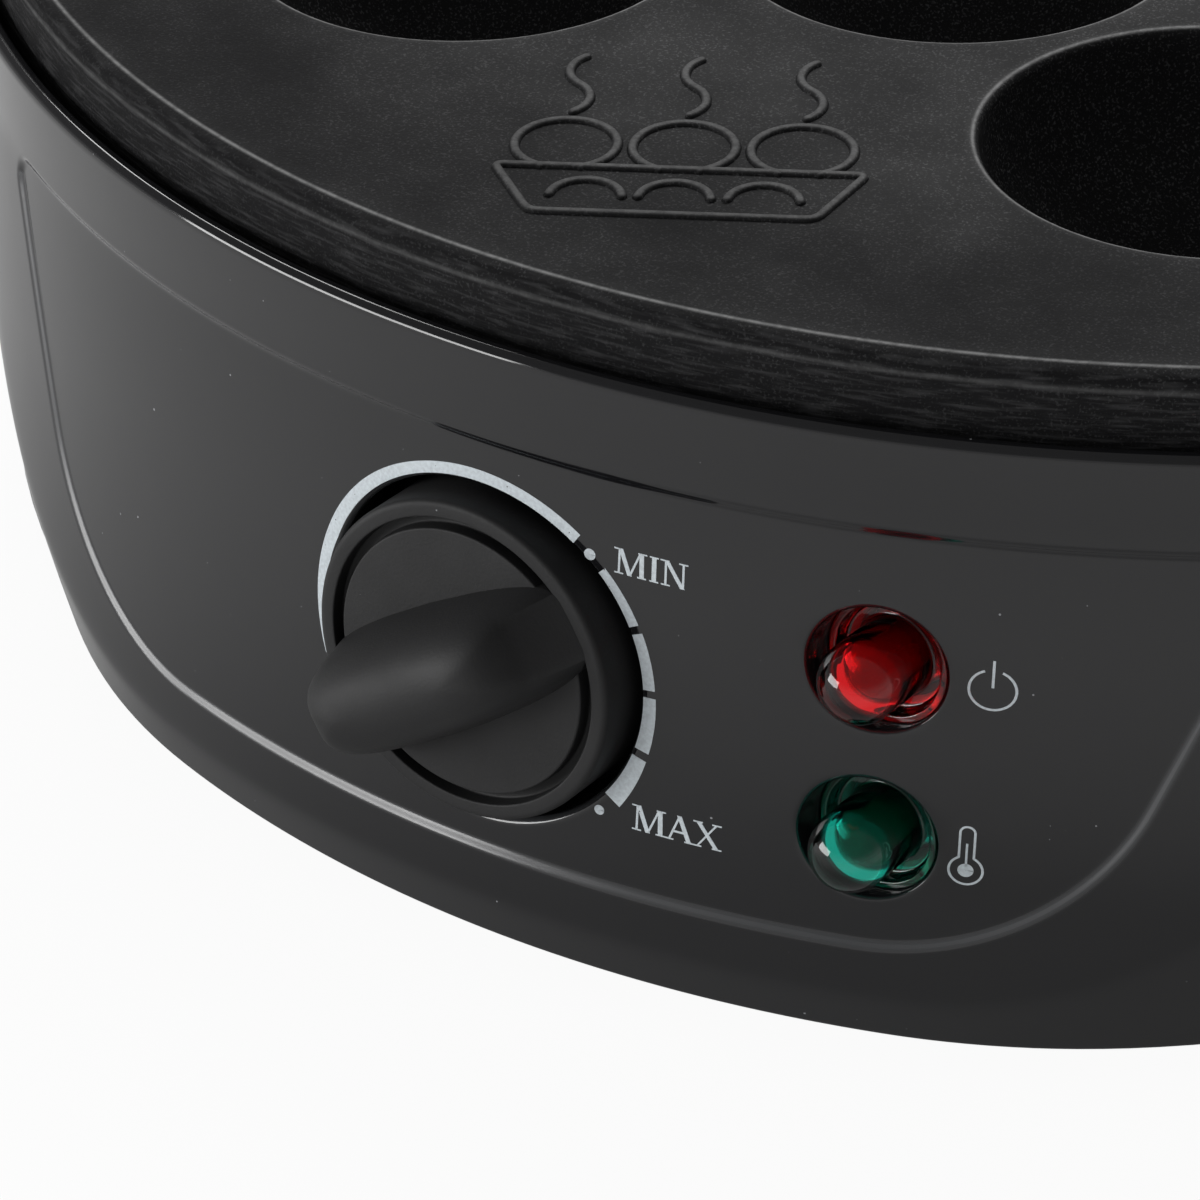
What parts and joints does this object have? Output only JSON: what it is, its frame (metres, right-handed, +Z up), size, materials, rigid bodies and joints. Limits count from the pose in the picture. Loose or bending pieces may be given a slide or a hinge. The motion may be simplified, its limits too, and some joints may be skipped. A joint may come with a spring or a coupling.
{
  "type": "takoyaki maker",
  "caption": "Round electric countertop cooker with a cast plate of half-ball cups and a control panel with a turning knob and indicator lamps.",
  "frame": {"origin": "centre of the foot-print on the surface that the feet stand on", "axes": "+Z up, -Y towards the control panel (front), +X to the right seen from the front"},
  "size_m": [0.2347, 0.2496, 0.0686],
  "materials": {
    "gloss_housing": "moulded gloss black",
    "base_plastic": "moulded satin black",
    "black_rubber": "matte",
    "nonstick_coating": "cast aluminium with a dark speckled non-stick coat",
    "heater_sheath": "heat-darkened steel sheath",
    "zinc_steel": "zinc plated",
    "reflector_sheet": "bright sheet",
    "ceramic": "steatite ceramic",
    "brass_contacts": "plain brass",
    "knob_plastic": "fine satin black",
    "white_plastic": "moulded white",
    "fuse_sleeve": "woven glass sleeve",
    "red_lens": "translucent red",
    "green_lens": "translucent green",
    "lamp_glass": "clear glass"
  },
  "bodies": {
    "cooker": {"base_cover": "base_plastic", "base_screws": "zinc_steel", "bracket_screws": "zinc_steel", "clamp_screws": "zinc_steel", "contact_blades": "brass_contacts", "cooking_plate": "nonstick_coating", "cord_clamp": "base_plastic", "cord_gland": "black_rubber", "foot_front_left": "black_rubber", "foot_front_right": "black_rubber", "foot_rear_left": "black_rubber", "foot_rear_right": "black_rubber", "foot_screws": "zinc_steel", "heat_lamp_clip": "zinc_steel", "heat_lamp_lens": "green_lens", "heat_lamp_neon": "lamp_glass", "heat_reflector": "reflector_sheet", "heater_clamps": "zinc_steel", "heating_element": "heater_sheath", "housing_shell": "gloss_housing", "plate_screws": "zinc_steel", "plate_spacers": "ceramic", "power_lamp_clip": "zinc_steel", "power_lamp_lens": "red_lens", "power_lamp_neon": "lamp_glass", "reflector_screws": "zinc_steel", "reflector_spacers": "zinc_steel", "terminal_block": "white_plastic", "thermal_fuse": "fuse_sleeve", "thermostat_body": "ceramic", "thermostat_bracket": "zinc_steel", "thermostat_nut": "brass_contacts"},
    "knob": {"knob": "knob_plastic", "thermostat_spindle": "zinc_steel", "knob_spring": "zinc_steel"}
  },
  "joints": [
    {"name": "knob_turn", "type": "hinge", "parent": "cooker", "child": "knob", "pos_m": [0, -0.11819, 0.033], "axis": [0, -0.997, 0.0768], "range_deg": [-270, 0]}
  ]
}
